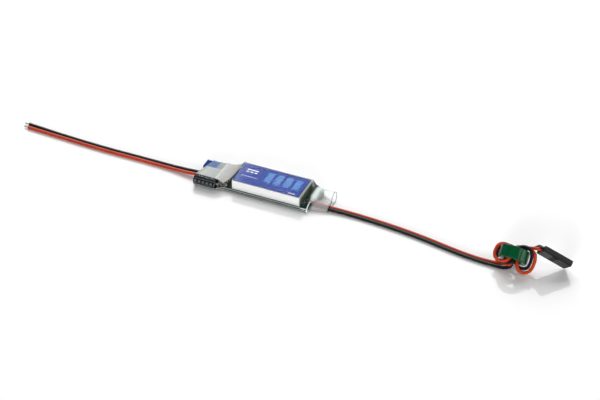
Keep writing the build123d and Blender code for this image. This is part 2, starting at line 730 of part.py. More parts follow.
with BuildPart() as heat_shrink_sleeve:
    loft(sections=[film_face(x, corners) for x, corners in film_sections], ruled=True)
    loft(sections=[film_face(x, corners, sleeve_wall) for x, corners in film_sections],
         ruled=True, mode=Mode.SUBTRACT)
    cut = Plane(origin=(capacitor_left - 0.5, capacitor_front, 0),
                z_dir=(math.cos(math.radians(sleeve_cut_angle)),
                       -math.sin(math.radians(sleeve_cut_angle)), 0))
    split(bisect_by=cut, keep=Keep.TOP)
save(heat_shrink_sleeve, "heat_shrink_sleeve")
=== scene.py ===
import math

import bmesh
import bpy
from mathutils import Matrix, Vector


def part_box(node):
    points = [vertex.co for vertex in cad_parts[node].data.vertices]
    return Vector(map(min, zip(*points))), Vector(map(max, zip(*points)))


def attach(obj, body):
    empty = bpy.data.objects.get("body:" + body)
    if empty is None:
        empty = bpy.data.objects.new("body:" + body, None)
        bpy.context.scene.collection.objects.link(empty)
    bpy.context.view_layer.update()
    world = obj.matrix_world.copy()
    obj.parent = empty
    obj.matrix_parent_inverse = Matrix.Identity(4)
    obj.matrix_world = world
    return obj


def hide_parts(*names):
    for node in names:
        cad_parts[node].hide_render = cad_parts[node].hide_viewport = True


# Small step-down regulator in clear heat-shrink, with its leads, ferrite ring and servo plug.
# Lengths are written in millimetres and turned to metres by mm(), point() or the mesh maker.

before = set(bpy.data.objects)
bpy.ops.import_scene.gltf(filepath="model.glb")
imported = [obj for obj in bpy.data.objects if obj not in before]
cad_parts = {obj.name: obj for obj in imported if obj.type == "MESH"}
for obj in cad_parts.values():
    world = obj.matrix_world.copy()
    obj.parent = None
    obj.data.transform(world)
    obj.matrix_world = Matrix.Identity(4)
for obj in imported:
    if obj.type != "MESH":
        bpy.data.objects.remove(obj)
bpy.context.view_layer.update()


def mm(length):
    """Millimetres as metres."""
    return length / 1000


def point(xyz):
    """A point in millimetres as a vector in metres."""
    return Vector(xyz) / 1000


# ------------------------------------------------------------------ camera
camera_turn = math.radians(23.96)
camera_rise = math.radians(36.945)
camera_distance = 1000
shift_right, shift_up = 13.632, -4.376
camera_right = Vector((math.cos(camera_turn), math.sin(camera_turn), 0))
camera_back = Vector((
    math.sin(camera_turn) * math.cos(camera_rise),
    -math.cos(camera_turn) * math.cos(camera_rise),
    math.sin(camera_rise),
))
camera_up = camera_back.cross(camera_right)
camera = bpy.data.objects.new("camera", bpy.data.cameras.new("camera"))
camera.data.sensor_width = 36
camera.data.lens = 134.34
camera.data.clip_start = 0.05
camera.data.clip_end = 20
camera.matrix_world = Matrix.Translation(
    point(camera_right * shift_right + camera_up * shift_up + camera_back * camera_distance)
) @ Matrix((camera_right, camera_up, camera_back)).transposed().to_4x4()
bpy.context.collection.objects.link(camera)
bpy.context.scene.camera = camera


# ------------------------------------------------------------------ materials
def srgb(code):
    """An sRGB hex colour as the linear colour that a socket takes."""
    channels = [int(code[i:i + 2], 16) / 255 for i in (1, 3, 5)]
    linear = [c / 12.92 if c <= 0.04045 else ((c + 0.055) / 1.055) ** 2.4 for c in channels]
    return (*linear, 1.0)


def add(tree, kind, settings, inputs):
    """Adds a node, sets its settings, and fills its inputs with values or other nodes' outputs."""
    made = tree.nodes.new(kind)
    for name, value in settings.items():
        setattr(made, name, value)
    for name, value in inputs.items():
        if isinstance(value, bpy.types.NodeSocket):
            tree.links.new(value, made.inputs[name])
        else:
            made.inputs[name].default_value = value
    return made


def start_material(name, **sockets):
    """A material with one principled shader, its node tree and that shader."""
    made = bpy.data.materials.new(name)
    made.use_nodes = True
    shader = made.node_tree.nodes["Principled BSDF"]
    for socket, value in sockets.items():
        shader.inputs[socket.replace("_", " ")].default_value = value
    return made, made.node_tree, shader


def place(tree, grain):
    """Coordinates in millimetres in the object's frame, each axis divided by its grain size."""
    coordinates = add(tree, "ShaderNodeTexCoord", {}, {})
    scale = [1000 / size for size in grain]
    mapping = add(tree, "ShaderNodeMapping", {}, {
        "Vector": coordinates.outputs["Object"], "Scale": scale})
    return mapping.outputs["Vector"]


def mottle(tree, grain, detail=3.0):
    """Soft noise whose blotches are about one grain size across."""
    return add(tree, "ShaderNodeTexNoise", {}, {
        "Vector": place(tree, grain), "Scale": 1.0, "Detail": detail}).outputs["Fac"]


def blend_colours(tree, factor, low, high):
    """A ramp from one colour to another as factor goes from 0.3 to 0.7."""
    ramp = add(tree, "ShaderNodeValToRGB", {}, {"Fac": factor})
    ramp.color_ramp.elements[0].position = 0.3
    ramp.color_ramp.elements[0].color = srgb(low)
    ramp.color_ramp.elements[1].position = 0.7
    ramp.color_ramp.elements[1].color = srgb(high)
    return ramp.outputs["Color"]


def between(tree, factor, low, high):
    """A number that goes from low to high as factor goes from 0 to 1."""
    return add(tree, "ShaderNodeMapRange", {}, {
        "Value": factor, "To Min": low, "To Max": high}).outputs["Result"]


def maths(tree, operation, *values):
    """The result of one maths operation."""
    return add(tree, "ShaderNodeMath", {"operation": operation},
               dict(enumerate(values))).outputs[0]


def product(tree, first, *others):
    """Coverages multiplied together, which is full only where all of them are."""
    for other in others:
        first = maths(tree, "MULTIPLY", first, other)
    return first


def largest(tree, first, *others):
    """The largest of some coverages."""
    for other in others:
        first = maths(tree, "MAXIMUM", first, other)
    return first


def inverse(tree, cover):
    """What a coverage leaves free."""
    return maths(tree, "SUBTRACT", 1.0, cover)


def either(tree, first, second):
    """Two coverages, one over the other."""
    return inverse(tree, product(tree, inverse(tree, first), inverse(tree, second)))


def fade(tree, value, zero_at, one_at):
    """A smooth change from 0 at zero_at to 1 at one_at."""
    return add(tree, "ShaderNodeMapRange", {"interpolation_type": "SMOOTHSTEP"}, {
        "Value": value, "From Min": zero_at, "From Max": one_at}).outputs["Result"]


def near(tree, value, middle, reach):
    """1 where value is within reach of middle, else 0; middle and reach in millimetres."""
    return maths(tree, "COMPARE", value, mm(middle), mm(reach))


def tint(tree, factor, below, above):
    """The colour below where factor is 0 and the colour above where it is 1."""
    return add(tree, "ShaderNodeMix", {"data_type": "RGBA"}, {
        "Factor": factor, 6: below, 7: above}).outputs[2]


def axes(tree):
    """The X, Y and Z of a place in the object's frame, in metres."""
    coordinates = add(tree, "ShaderNodeTexCoord", {}, {}).outputs["Object"]
    return add(tree, "ShaderNodeSeparateXYZ", {}, {"Vector": coordinates}).outputs


def dent(tree, shader, height, depth):
    """Bumps the surface by up to depth millimetres."""
    bump = add(tree, "ShaderNodeBump", {}, {
        "Height": height, "Distance": mm(depth), "Strength": 1.0})
    tree.links.new(bump.outputs["Normal"], shader.inputs["Normal"])


def finish(name, low, high, grain, rough, dents=0.0, **sockets):
    """A material whose colour and roughness vary a little over blotches of one grain size."""
    made, tree, shader = start_material(name, **sockets)
    blotches = mottle(tree, (grain, grain, grain))
    tree.links.new(blend_colours(tree, blotches, low, high), shader.inputs["Base Color"])
    tree.links.new(between(tree, blotches, *rough), shader.inputs["Roughness"])
    if dents:
        fine = mottle(tree, (grain / 6, grain / 6, grain / 6), detail=2.0)
        dent(tree, shader, fine, dents)
    return made


# Solder mask over glass-fibre laminate: dark glossy green, a faint weave shows.
solder_mask = finish("solder_mask", "#0A2A22", "#123E33", 2.4, (0.25, 0.4), dents=0.01)
# Tinplate: rolled steel with a bright tin coat, fine lines along its length.
tinplate, tree, shader = start_material("tinplate", Metallic=0.15)
rolled = mottle(tree, (9.0, 0.25, 0.25))
tree.links.new(blend_colours(tree, rolled, "#EEF0F0", "#FBFBFB"), shader.inputs["Base Color"])
tree.links.new(between(tree, rolled, 0.28, 0.42), shader.inputs["Roughness"])
# Polyester label and its inks: even screen print, satin from its clear overlay.
label_film = finish("polyester_label", "#1A3F9E", "#2248AC", 6.0, (0.3, 0.38), IOR=1.15)
cyan_ink = finish("cyan_ink", "#0F84D8", "#1C9AEC", 2.0, (0.3, 0.4))
# Dark navy for the line along the label's edges.
dark_navy_line = finish("dark_navy_line", "#060A26", "#0A1034", 2.0, (0.3, 0.4))
white_ink = finish("white_ink", "#E8ECF4", "#FFFFFF", 2.0, (0.35, 0.45))
# Drawn aluminium of the capacitor's can.
can_aluminium = finish("drawn_aluminium", "#C4C6C8", "#E2E3E4", 1.2, (0.3, 0.45), Metallic=1.0)
# Bung of butyl rubber: dead black.
bung_rubber = finish("butyl_rubber", "#161616", "#202020", 0.8, (0.7, 0.85), dents=0.02)
# Tinned leads and strands: bright, a little wavy.
tinned_copper = finish("tinned_copper", "#B9B4A8", "#E6E3DC", 0.5, (0.2, 0.38), Metallic=1.0)
# Tin solder: bright domes with a slight frost.
tin_solder = finish("tin_solder", "#BFC2C4", "#F0F1F1", 0.7, (0.12, 0.3), dents=0.01,
                    Metallic=0.9)
# Gold flash on the square pins, and phosphor bronze for the contacts.
gold_flash = finish("gold_flash", "#D8A83C", "#EBC466", 0.8, (0.2, 0.3), Metallic=1.0)
phosphor_bronze = finish("phosphor_bronze", "#C79A5B", "#DDB679", 0.8, (0.25, 0.4), Metallic=1.0)
# Glass-filled nylon of the header, matt and slightly speckled.
header_nylon = finish("header_nylon", "#17181A", "#232427", 0.35, (0.45, 0.6), dents=0.01)
# Moulded polypropylene of the jumper: royal blue, satin.
jumper_blue = finish("jumper_polypropylene", "#0F3388", "#1746A4", 2.2, (0.4, 0.5), dents=0.01,
                     IOR=1.18)
# Parts on the board: moulded epoxy, pressed iron powder, fired ceramic, glazed resistors and the
# cloudy lens of the light.
chip_epoxy = finish("moulded_epoxy", "#18191B", "#242528", 0.3, (0.5, 0.65), dents=0.01)
iron_powder = finish("pressed_iron_powder", "#34363A", "#4A4D52", 0.25, (0.5, 0.7), dents=0.02)
fired_ceramic = finish("fired_ceramic", "#6E5337", "#8A6B48", 0.5, (0.4, 0.55))
resistor_glaze = finish("resistor_glaze", "#141518", "#1E2024", 0.4, (0.2, 0.35))
led_lens = finish("led_lens", "#B8B694", "#CFCDAE", 0.4, (0.15, 0.25))
# Soft insulation: satin vinyl, with the slight waviness of the strands under it.
red_vinyl = finish("red_vinyl", "#AC2C0E", "#C03E15", 3.0, (0.34, 0.48), dents=0.015)
black_vinyl = finish("black_vinyl", "#0C0C0D", "#161617", 3.0, (0.34, 0.48), dents=0.015)
# Epoxy coat on the ferrite: thick glossy green paint with orange peel.
green_epoxy = finish("green_epoxy", "#003D22", "#00502C", 2.5, (0.12, 0.18), dents=0.006, IOR=1.38)
# Nylon of the plug: black with the fine spark texture of its mould.
plug_nylon = finish("plug_nylon", "#0E0F12", "#16171B", 0.25, (0.38, 0.5), dents=0.012,
                    IOR=1.4)

# Shrink sleeve of the capacitor: black vinyl with a row of grey bars printed between two lines.
capacitor_low, capacitor_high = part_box("capacitor_sleeve")
capacitor_middle = (capacitor_low + capacitor_high) / 2 * 1000
capacitor_radius = (capacitor_high.z - capacitor_low.z) / 2 * 1000
print_height = capacitor_middle.z + 0.36 * capacitor_radius
print_half_width = 0.4275 * capacitor_radius
bar_half_width = 0.19 * capacitor_radius
bar_half_pitch = 0.95
bar_gap = 0.4
line_half_width = 0.09
capacitor_vinyl, tree, shader = start_material("capacitor_vinyl", Roughness=0.3, IOR=1.28)
at = axes(tree)
bar_row = near(tree, at["Z"], print_height, bar_half_width)
bar_phase = maths(tree, "PINGPONG", at["X"], mm(bar_half_pitch))
bars = product(tree, bar_row, maths(tree, "GREATER_THAN", bar_phase, mm(bar_gap)))
upper_line = near(tree, at["Z"], print_height + print_half_width, line_half_width)
lower_line = near(tree, at["Z"], print_height - print_half_width, line_half_width)
front_half = maths(tree, "LESS_THAN", at["Y"], mm(capacitor_middle.y))
print_mask = product(tree, largest(tree, bars, upper_line, lower_line), front_half)
tree.links.new(tint(tree, print_mask, srgb("#0C0D0F"), srgb("#666B6F")),
               shader.inputs["Base Color"])

node_finishes = {
    "pcb": solder_mask, "shield_can": tinplate, "label": label_film,
    "capacitor_can": can_aluminium, "capacitor_sleeve": capacitor_vinyl,
    "capacitor_bung": bung_rubber, "capacitor_leads": tinned_copper,
    "header_base": header_nylon, "header_pins": gold_flash, "jumper_cap": jumper_blue,
    "jumper_clip": phosphor_bronze, "controller_chip": chip_epoxy,
    "controller_chip_leads": tinned_copper, "inductor_core": iron_powder,
    "inductor_terminals": tinned_copper, "schottky_diode": chip_epoxy,
    "diode_terminals": tinned_copper, "ceramic_capacitors": fired_ceramic,
    "chip_resistors": resistor_glaze, "output_filter_capacitor": fired_ceramic,
    "status_led": led_lens, "wire_solder": tin_solder, "component_solder": tin_solder,
    "conductor_tails": tinned_copper, "ferrite_ring": green_epoxy, "plug_housing": plug_nylon,
    "plug_contact_positive": phosphor_bronze, "plug_contact_negative": phosphor_bronze,
}
for node_name, node_finish in node_finishes.items():
    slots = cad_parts[node_name].material_slots
    for slot in slots:
        slot.material = node_finish
    if not slots:
        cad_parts[node_name].data.materials.append(node_finish)

# ------------------------------------------------------------------ cords
wire_diameter = 1.5
conductor_diameter = 0.76
tip_length = 2.3
ring_centre = Vector((117.9, -7.6, 6.65))
ring_turn = Matrix.Rotation(math.radians(-50), 3, "X") @ Matrix.Rotation(math.radians(1), 3, "Y")
plug_centre = Vector((134.47, -2.73, 6.98))
plug_normal = Vector((-0.06, -0.86, -0.51)).normalized()
plug_axis = Vector((0.82, 0.25, -0.51))
plug_axis = (plug_axis - plug_normal * plug_axis.dot(plug_normal)).normalized()
plug_across = plug_normal.cross(plug_axis)
plug_length = 14.0
pin_pitch = 2.54
contact_seat = 1.8


def at_ring(points):
    """Points given across, back and along the ferrite ring's axis."""
    return [tuple(ring_centre + ring_turn @ Vector(p)) for p in points]


def in_slot(slot, distances):
    """Points on a plug cavity's axis, measured inwards from the wire end."""
    return [
        tuple(plug_centre + plug_axis * (d - plug_length / 2) + plug_across * slot * pin_pitch)
        for d in distances
    ]


input_red_route = [
    (-20.2, -4.4, 2.35),
    (-24.5, -4.6, 2.3), (-29.5, -4.8, 2.15), (-35.0, -4.8, 1.9),
    (-41.0, -4.6, 1.4), (-48.0, -4.1, 0.95), (-56.0, -3.85, 0.8), (-66.0, -3.7, 0.78),
    (-78.0, -3.85, 0.78), (-90.0, -3.5, 0.78), (-102.0, -2.9, 0.78), (-113.0, -2.3, 0.78),
    (-122.0, -1.9, 0.78),
]
input_black_route = [
    (-20.2, -2.2, 2.35),
    (-24.5, -2.6, 2.4), (-29.5, -3.0, 2.3), (-35.0, -3.05, 2.15),
    (-41.0, -2.85, 1.6), (-48.0, -2.35, 1.05), (-56.0, -2.05, 0.85), (-66.0, -1.95, 0.78),
    (-78.0, -2.05, 0.78), (-90.0, -1.7, 0.78), (-102.0, -1.1, 0.78), (-113.0, -0.35, 0.78),
    (-122.8, 0.5, 0.78),
]
output_black_route = [
    (19.9, -5.0, 2.35), (22.2, -4.8, 2.25),
    (26.0, -4.2, 1.5), (31.0, -3.6, 1.08), (41.0, -3.2, 0.78), (54.0, -3.9, 0.77),
    (67.0, -5.1, 0.77), (79.0, -6.9, 0.77), (90.0, -9.0, 0.77), (98.0, -10.2, 0.77),
    (104.0, -10.7, 0.77), (109.0, -10.9, 0.77), (112.0, -11.0, 0.77), (114.3, -11.0, 0.8),
] + at_ring([
    (-1.9, 2.6, -5.8), (-0.6, 3.0, -5.0), (-0.4, 2.9, -3.7), (-0.7, 2.7, -1.9),
    (-1.0, 2.7, 0.0), (-0.9, 2.7, 1.8), (-1.5, 2.8, 3.4), (-3.0, 3.0, 4.0),
    (-4.8, 2.9, 3.9), (-6.7, 2.5, 3.4), (-7.4, 2.1, 1.8), (-7.4, 1.8, -0.3),
    (-7.4, 1.4, -2.4), (-6.8, 1.1, -4.0), (-5.0, 0.6, -4.3), (-3.0, 0.0, -4.3),
    (-1.0, -0.7, -4.2), (0.4, -0.9, -3.3), (0.9, -0.8, -1.4), (1.0, -1.3, 0.4),
    (1.0, -2.1, 2.0), (1.7, -2.3, 3.4), (3.3, -2.3, 4.1), (5.2, -2.2, 4.2),
    (6.8, -2.1, 3.6), (7.8, -1.5, 2.0), (8.0, -0.8, -0.1), (7.8, -0.2, -2.2),
    (7.3, 0.3, -3.8), (6.1, 0.4, -4.6), (4.4, 0.4, -4.75), (2.9, 0.9, -4.3),
    (1.9, 1.7, -3.6), (1.3, 2.1, -2.6), (1.1, 2.2, -1.5), (1.0, 2.2, 0.2),
    (1.1, 2.3, 1.8), (1.7, 2.7, 3.5), (3.3, 3.0, 4.4), (5.2, 3.0, 4.8),
    (6.8, 2.7, 5.5), (8.2, 1.5, 6.1),
]) + [(127.0, -2.6, 10.4), (127.9, -3.15, 11.1)] + in_slot(1, (-0.6, contact_seat))
output_red_route = [
    (19.9, -2.8, 2.35), (22.2, -2.7, 2.25),
    (26.0, -2.4, 1.5), (31.0, -2.0, 1.08), (41.0, -1.6, 0.78), (54.0, -2.3, 0.77),
    (67.0, -3.5, 0.77), (79.0, -5.3, 0.77), (90.0, -7.4, 0.77), (98.0, -8.6, 0.77),
    (104.0, -9.05, 0.77), (108.4, -8.9, 0.8), (111.4, -8.6, 0.85),
] + at_ring([
    (-4.5, 3.7, -4.5), (-3.0, 2.4, -4.3), (-1.8, 1.4, -4.6), (-0.7, 0.9, -4.5),
    (-0.1, 0.8, -3.5), (-0.5, 0.8, -1.9), (-1.2, 1.0, -0.2), (-1.8, 1.1, 1.6),
    (-2.7, 1.3, 3.3), (-4.4, 1.3, 3.8), (-6.3, 1.0, 3.7), (-7.95, 0.4, 2.7),
    (-8.4, 0.0, 0.5), (-8.3, -0.5, -1.5), (-7.4, -0.8, -3.3), (-5.8, -1.1, -4.2),
    (-4.0, -1.6, -4.2), (-2.2, -2.1, -4.0), (-1.1, -2.4, -2.9), (-0.8, -2.3, -1.2),
    (-0.6, -1.5, 0.6), (-0.4, -0.8, 2.4), (0.5, -0.6, 3.7), (2.4, -0.6, 4.0),
    (4.6, -0.5, 4.1), (6.6, -0.5, 3.9), (8.5, -0.3, 2.9), (9.3, -0.1, 1.2),
    (9.5, 0.0, -0.8), (9.3, 0.3, -3.0), (8.4, 0.9, -5.1), (6.6, 1.5, -6.2),
    (4.7, 0.9, -6.3), (3.3, -0.4, -5.4), (2.6, -0.9, -3.7), (2.5, -0.3, -2.0),
    (2.5, 1.05, 0.5), (2.5, 1.1, 1.9), (2.8, 1.15, 3.3), (3.9, 1.2, 4.5),
    (5.4, 1.3, 4.9), (7.1, 0.8, 5.1), (8.5, -0.7, 5.0),
]) + in_slot(0, (-0.6, contact_seat))


def wire(name, route, insulation):
    """An insulated wire along a smooth spline through its route, instead of the plain tube."""
    curve = bpy.data.curves.new(name, "CURVE")
    curve.dimensions = "3D"
    curve.bevel_depth = mm(wire_diameter / 2)
    curve.bevel_resolution = 5
    curve.resolution_u = 10
    curve.use_fill_caps = True
    spline = curve.splines.new("NURBS")
    spline.points.add(len(route) - 1)
    for knot, xyz in zip(spline.points, route):
        knot.co = (*point(xyz), 1)
    spline.order_u = 3
    spline.use_endpoint_u = True
    made = bpy.data.objects.new(name + "_insulation", curve)
    bpy.context.collection.objects.link(made)
    curve.materials.append(insulation)
    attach(made, "module")
    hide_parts(name)
    return made


input_red = wire("input_wire_red", input_red_route, red_vinyl)
input_black = wire("input_wire_black", input_black_route, black_vinyl)
output_red = wire("output_wire_red", output_red_route, red_vinyl)
output_black = wire("output_wire_black", output_black_route, black_vinyl)


def new_mesh(name, vertices, faces, finish_material, smooth=True):
    """A mesh object from points in millimetres."""
    mesh = bpy.data.meshes.new(name)
    mesh.from_pydata([tuple(point(v)) for v in vertices], [], faces)
    mesh.materials.append(finish_material)
    mesh.update()
    bm = bmesh.new()
    bm.from_mesh(mesh)
    bmesh.ops.recalc_face_normals(bm, faces=bm.faces)
    bm.to_mesh(mesh)
    bm.free()
    if smooth:
        mesh.shade_smooth()
    made = bpy.data.objects.new(name, mesh)
    bpy.context.collection.objects.link(made)
    return made


def ring_faces(first_ring, ring_count, around):
    """Faces with four corners between neighbouring rings of points."""
    return [
        (ring * around + n, ring * around + (n + 1) % around,
         (ring + 1) * around + (n + 1) % around, (ring + 1) * around + n)
        for ring in range(first_ring, first_ring + ring_count - 1) for n in range(around)
    ]


def twisted_tip(name, route):
    """Seven tinned strands twisted together, fused and rounded off at the end."""
    start = Vector(route[-1])
    heading = (start - Vector(route[-2])).normalized()
    side = heading.cross(Vector((0, 0, 1))).normalized()
    rise = side.cross(heading)
    rings, around, outer_strands, turns = 22, 48, 6, 0.75
    end_share, end_slope, groove = 0.35, 6.0, 0.1
    vertices = []
    for ring in range(rings):
        share = ring / (rings - 1)
        radius = min(1.0, end_share + end_slope * (1.0 - share)) * (conductor_diameter / 2)
        for spoke in range(around):
            angle = 2 * math.pi * spoke / around
            lobe = abs(math.cos(outer_strands * (angle - 2 * math.pi * turns * share) / 2))
            reach = radius * (1 - groove + groove * lobe)
            along = heading * tip_length * share
            vertices.append(start + along + side * reach * math.cos(angle)
                            + rise * reach * math.sin(angle))
    faces = ring_faces(0, rings, around)
    faces.append(tuple(range(around))[::-1])
    faces.append(tuple((rings - 1) * around + spoke for spoke in range(around)))
    made = new_mesh(name, vertices, faces, tinned_copper)
    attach(made, "module")
    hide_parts("tinned_tips")
    return made


tip_red = twisted_tip("tinned_tip_red", input_red_route)
tip_black = twisted_tip("tinned_tip_black", input_black_route)

# ------------------------------------------------------------------ printed label
label_low, label_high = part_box("label")
ink_bottom = label_high.z * 1000 + 0.004
ink_top = ink_bottom + 0.02


def ink(name, shapes, colour):
    """Flat printed shapes, each a list of (x, y) corners, as thin closed plates."""
    vertices, faces = [], []
    for corners in shapes:
        count, base = len(corners), len(vertices)
        vertices += [(x, y, ink_bottom) for x, y in corners]
        vertices += [(x, y, ink_top) for x, y in corners]
        faces.append(tuple(base + n for n in range(count))[::-1])
        faces.append(tuple(base + count + n for n in range(count)))
        for n in range(count):
            after = (n + 1) % count
            faces.append((base + n, base + after, base + count + after, base + count + n))
    made = new_mesh(name, vertices, faces, colour, smooth=False)
    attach(made, "module")
    return made


def bar(x, y, length, width):
    """A rectangle centred on (x, y)."""
    return [(x - length / 2, y - width / 2), (x + length / 2, y - width / 2),
            (x + length / 2, y + width / 2), (x - length / 2, y + width / 2)]


label_left, label_front = label_low.x * 1000, label_low.y * 1000
label_right, label_back = label_high.x * 1000, label_high.y * 1000

# four blocks of meter bars, whose lengths step a little from row to row
meter_x, meter_y = label_left + 14.5, label_front + 5.0
block_pitch, block_count = 4.6, 4
row_pitch, row_count, row_width = 1.05, 7, 0.62
longest_bar, bar_step = 3.4, 0.35
ink("label_meter_print", [
    bar(meter_x + block * block_pitch, meter_y + row * row_pitch,
        longest_bar - bar_step * ((row * 2 + block) % 3), row_width)
    for block in range(block_count) for row in range(row_count)
], cyan_ink)

# a direct-current symbol, a fine row of ticks below it and a short row at the far corner
symbol_x, symbol_y = label_left + 5.6, label_front + 9.6
symbol_gap, symbol_width = 0.8, 0.7
tick_pitch, corner_tick_pitch = 0.85, 0.8
white_print = [bar(symbol_x, symbol_y + symbol_gap, 5.4, symbol_width)]
white_print += [bar(symbol_x + n * 2.0, symbol_y - symbol_gap, 1.3, symbol_width)
                for n in (-1, 0, 1)]
white_print += [bar(symbol_x + 0.2 + n * tick_pitch, label_front + 5.4, 0.6, 0.28)
                for n in range(-4, 5)]
white_print += [bar(label_left + 27.0 + n * corner_tick_pitch, label_front + 1.5, 0.55, 0.5)
                for n in range(4)]
ink("label_symbol_print", white_print, white_ink)

# a dark navy line along the two long sides and the output end
border, border_inset = 0.55, 0.3
border_length = label_right - label_left - 2 * border_inset
label_x, label_y = (label_left + label_right) / 2, (label_front + label_back) / 2
ink("label_dark_edge_line", [
    bar(label_x, label_front + border / 2, border_length, border),
    bar(label_x, label_back - border / 2, border_length, border),
    bar(label_right - border / 2, label_y, border, label_back - label_front - 2 * border),
], dark_navy_line)

# ------------------------------------------------------------------ heat-shrink sleeve
# Clear polyolefin film: a thin skin that mirrors only where it is seen edge on. It is milky
# where it bridges the wires, with a painted highlight on the tent's ridge and painted shade on
# its facets. Pale lines of painted highlight lie along its folds, a painted reflection lies past
# the shield's end, and painted shade in grey-green lies beyond that, along the board's foot and
# at the outlet's rim.
clear_film, tree, shader = start_material("clear_polyolefin", IOR=1.25)
at = axes(tree)


def region(*ranges):
    """Coverage that fades in along each range, given as (axis, clear_at, full_at)."""
    return product(tree, *(
        fade(tree, at[axis], mm(clear_at), mm(full_at)) for axis, clear_at, full_at in ranges))


# the milky tent over the input end stops at a slanting line, which leaves a clear window over the
# board's front left corner, and at another slanting line beside the shield
window_edge, window_slope, window_start = -8.4, 1.43, 19.0
window_line = largest(tree, mm(window_edge), maths(
    tree, "ADD", maths(tree, "MULTIPLY", at["X"], window_slope), mm(window_start)))
past_window = fade(tree, maths(tree, "SUBTRACT", at["Y"], window_line), 0.0, mm(0.3))
shield_slope, shield_start = 0.35, -15.2
shield_line = maths(tree, "MULTIPLY", maths(tree, "MINIMUM", at["Y"], 0.0), shield_slope)
before_shield = fade(tree, maths(tree, "SUBTRACT", at["X"], shield_line),
                     mm(shield_start), mm(shield_start - 0.5))
tent = product(tree, before_shield, past_window, region(("Z", 1.4, 2.6)))
over_jumper = region(("X", -24.4, -26.6), ("Y", -1.5, -0.5))
over_header = region(("X", -22.6, -23.4), ("X", -25.8, -24.8), ("Y", -1.4, -0.4),
                     ("Z", 4.0, 4.5))
jumper_thinning, header_thinning = 0.76, 0.3
thinned = maths(tree, "SUBTRACT", inverse(tree, product(tree, over_jumper, jumper_thinning)),
                product(tree, over_header, header_thinning))
creases = between(tree, mottle(tree, (2.6, 1.6, 1.6)), 0.74, 1.0)
lip = region(("X", 22.6, 24.4), ("Y", -0.4, -0.9), ("Z", 0.3, 0.8), ("Z", 3.8, 2.8))
# a painted reflection of the lamp, pale on the film past the shield's end
end_reflection = region(("X", 18.9, 22.4), ("X", 24.6, 22.4), ("Y", -5.6, -0.6))

# painted highlights: pale lines along the film's folds at the board's front edges, over the
# shield's end and round the board's corner
edges = largest(tree, near(tree, at["Z"], 1.75, 0.2), near(tree, at["Z"], 0.8, 0.16))
edge_fold_highlights = product(tree, edges, region(("Y", -8.3, -8.6)))
end_fold_highlight = product(tree, near(tree, at["X"], 18.2, 0.2), region(("Z", 1.5, 2.5)))
corner_fold_highlight = product(tree, near(tree, at["X"], 21.9, 0.22), region(("Y", -3.0, -6.0)))
fold_highlights = largest(tree, edge_fold_highlights, end_fold_highlight, corner_fold_highlight)

# shade beyond the shield's end, along the board's foot and at the outlet's rim
shade_cover, rim_cover = 0.5, 0.4
end_shade = product(tree, region(("X", 18.3, 18.6), ("X", 22.2, 20.6)), shade_cover,
                    inverse(tree, end_reflection))
foot_shade = product(tree, region(("Z", 1.7, 1.5), ("Y", -8.4, -8.6)), shade_cover)
rim_shade = product(tree, region(("X", 30.1, 30.3)), rim_cover)
shade = largest(tree, end_shade, foot_shade, rim_shade)

tent_cover, lip_cover, end_reflection_cover, fold_highlight_cover = 0.95, 0.26, 0.72, 0.5
pale = largest(
    tree, product(tree, tent, thinned, creases, tent_cover), product(tree, lip, lip_cover),
    product(tree, end_reflection, end_reflection_cover), product(tree, fold_highlights, fold_highlight_cover))
facing = add(tree, "ShaderNodeLayerWeight", {}, {"Blend": 0.5}).outputs["Facing"]
grazing_power, least_seen, most_seen = 6.0, 0.003, 0.9
grazing = between(tree, maths(tree, "POWER", facing, grazing_power), least_seen, most_seen)
tree.links.new(either(tree, either(tree, pale, shade), grazing), shader.inputs["Alpha"])
# where the film is milky or carries painted highlights, a painted reflection or painted shade, it
# is matt instead of a mirror
fully_covered = 0.08
milk_and_painted_light = fade(tree, largest(tree, pale, shade), 0.0, fully_covered)
tree.links.new(inverse(tree, milk_and_painted_light), shader.inputs["Metallic"])
tree.links.new(between(tree, milk_and_painted_light, 0.07, 0.28), shader.inputs["Roughness"])

# the milk's painted light along the tent, a painted highlight on its ridge and painted shade on
# its facets, then the tints of its other places
tent_start, tent_end = -33.0, -16.0
tent_share = add(tree, "ShaderNodeMapRange", {}, {
    "Value": at["X"], "From Min": mm(tent_start), "From Max": mm(tent_end)}).outputs["Result"]
tent_painted_light = add(tree, "ShaderNodeValToRGB", {}, {"Fac": tent_share})
stops = tent_painted_light.color_ramp.elements
for stop, code in ((0.1, "#DCE0DD"), (0.42, "#CBD2CF"), (0.56, "#BCC4C2"), (0.61, "#F1F3F1"),
                   (0.68, "#DADAD8"), (0.85, "#CBC5C2"), (0.95, "#B5B9B5")):
    stops.new(stop).color = srgb(code)
stops.remove(stops[0])
stops.remove(stops[-1])
blotches = between(tree, mottle(tree, (2.4, 1.5, 1.5)), 0.0, 0.45)
film_colour = tint(tree, blotches, tent_painted_light.outputs["Color"], srgb("#A9ADAB"))
shaded = product(tree, fade(tree, shade, 0.0, 0.3), inverse(tree, fold_highlights))
# Past x 19.4 the film takes the pale colour of the painted reflection and painted highlights; the
# dark grey-green is painted shade.
for cover, code in ((over_jumper, "#9CC0E6"), (region(("X", 18.6, 19.4)), "#F4FFFC"),
                    (lip, "#D8D2D2"), (shaded, "#20362F")):
    film_colour = tint(tree, cover, film_colour, srgb(code))
clear_colour = tint(tree, facing, srgb("#FFFFFF"), srgb("#8C9492"))
tree.links.new(tint(tree, milk_and_painted_light, clear_colour, film_colour), shader.inputs["Base Color"])
dent(tree, shader, mottle(tree, (2.2, 2.2, 2.2)), 0.015)

# the film's rings of points: corners are rounded to a radius, or to a share of a short side
film_wall = 0.22
corner_points, corner_radius, side_share = 5, 0.8, 0.45
ring_spacing, straight_steps = 1.0, 4


